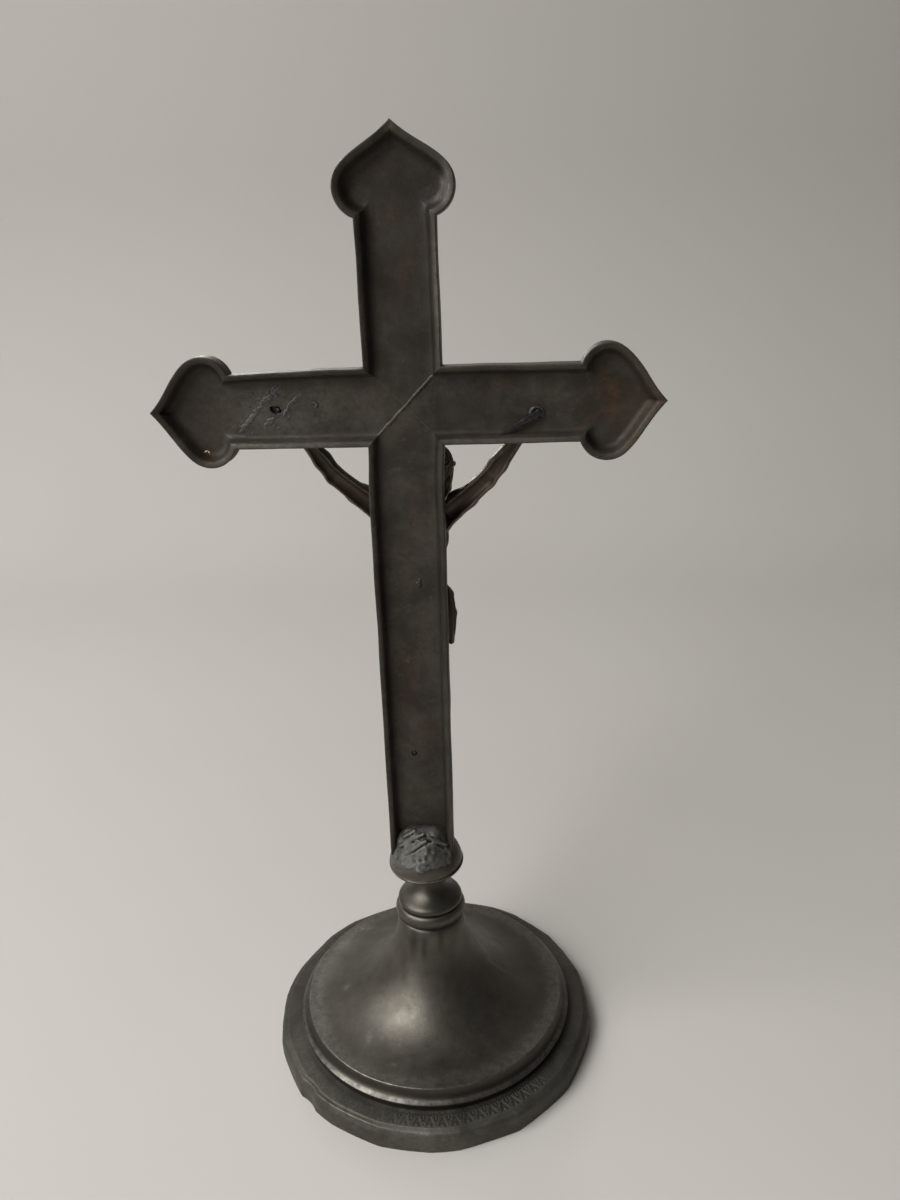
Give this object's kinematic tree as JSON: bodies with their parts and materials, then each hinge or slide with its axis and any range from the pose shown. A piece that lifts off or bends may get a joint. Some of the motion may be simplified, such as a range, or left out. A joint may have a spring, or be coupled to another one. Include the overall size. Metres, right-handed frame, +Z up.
{
  "type": "altar cross",
  "caption": "Standing altar crucifix of cast pewter: hollow-backed cross with onion-shaped ends and a figure, on a turned stem and a round trumpet foot.",
  "frame": {"origin": "centre of the foot's underside, on the surface that it stands on", "axes": "+Z up along the cross; -Y towards the front, which carries the figure; +Y towards the hollow back; +X to the figure's own left"},
  "size_m": [0.1584, 0.1216, 0.32],
  "materials": {
    "aged_pewter": "dull grey-brown pewter patina, satin, paler on worn edges",
    "brown_pewter": "brownish cast pewter, satin, darker in the hollows",
    "soft_solder": "pale bluish grey tin-lead solder, rough, tool-marked",
    "dark_iron": "dark oxidised iron",
    "copper_rivet": "copper, tarnished, bright where rubbed"
  },
  "bodies": {
    "root": {"foot_rim": "aged_pewter", "rim_solder": "soft_solder", "foot_dome": "aged_pewter", "stem_collar": "aged_pewter", "stem_bell": "aged_pewter", "knop_lower_half": "aged_pewter", "knop_upper_half": "aged_pewter", "shaft_solder": "soft_solder", "left_arm_casting": "aged_pewter", "head_arm_casting": "aged_pewter", "right_arm_casting": "aged_pewter", "shaft_casting": "aged_pewter", "mitre_solder_upper_left": "soft_solder", "mitre_solder_upper_right": "soft_solder", "mitre_solder_lower_right": "soft_solder", "mitre_solder_lower_left": "soft_solder", "corpus_body": "brown_pewter", "corpus_left_arm": "brown_pewter", "corpus_right_arm": "brown_pewter", "right_hand_nail": "dark_iron", "left_hand_nail": "dark_iron", "foot_nail": "dark_iron", "loin_pin": "soft_solder", "end_rivet": "copper_rivet", "titulus_scroll": "brown_pewter"}
  },
  "joints": []
}
